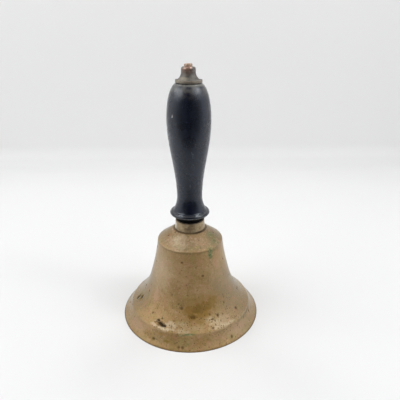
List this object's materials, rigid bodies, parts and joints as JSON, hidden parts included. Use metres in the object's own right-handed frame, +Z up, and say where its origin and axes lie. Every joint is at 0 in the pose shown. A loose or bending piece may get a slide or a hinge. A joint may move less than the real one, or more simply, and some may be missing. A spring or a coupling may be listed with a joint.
{
  "type": "hand bell",
  "caption": "Cast brass hand bell with a flared mouth, bevelled lip and sloping crown on a turned black wood handle, with a clapper that hangs from a ring and swings inside.",
  "frame": {"origin": "on the floor under the middle of the bell's mouth, in the plane of the rim", "axes": "+Z up along the axis of the bell and handle; -Y towards the viewer of the picture; the clapper's main swing is along X"},
  "size_m": [0.115, 0.115, 0.2026],
  "materials": {
    "bell": "aged satin brass with small casting pits, brown stains and a little verdigris",
    "ferrule": "worn, brighter brass",
    "handle": "ebonised and polished, blue-black",
    "finial_cap": "darkened brass",
    "tie_rod": "dull, copper-brown riveted end",
    "crown_washer": "dark iron",
    "clapper_ring": "dark iron wire",
    "clapper_stem": "dark forged iron",
    "clapper_ball": "dark cast iron"
  },
  "bodies": {
    "frame": {"bell": "bell", "ferrule": "ferrule", "handle": "handle", "finial_cap": "finial_cap", "tie_rod": "tie_rod", "crown_washer": "crown_washer"},
    "link": {"clapper_ring": "clapper_ring"},
    "clapper": {"clapper_stem": "clapper_stem", "clapper_ball": "clapper_ball"}
  },
  "joints": [
    {"name": "link_swing", "type": "hinge", "parent": "frame", "child": "link", "pos_m": [0, 0, 0.0584], "axis": [1, 0, 0], "range_deg": [-10, 10]},
    {"name": "clapper_swing", "type": "hinge", "parent": "link", "child": "clapper", "pos_m": [0, 0, 0.04955], "axis": [0, 1, 0], "range_deg": [-36, 36]}
  ]
}
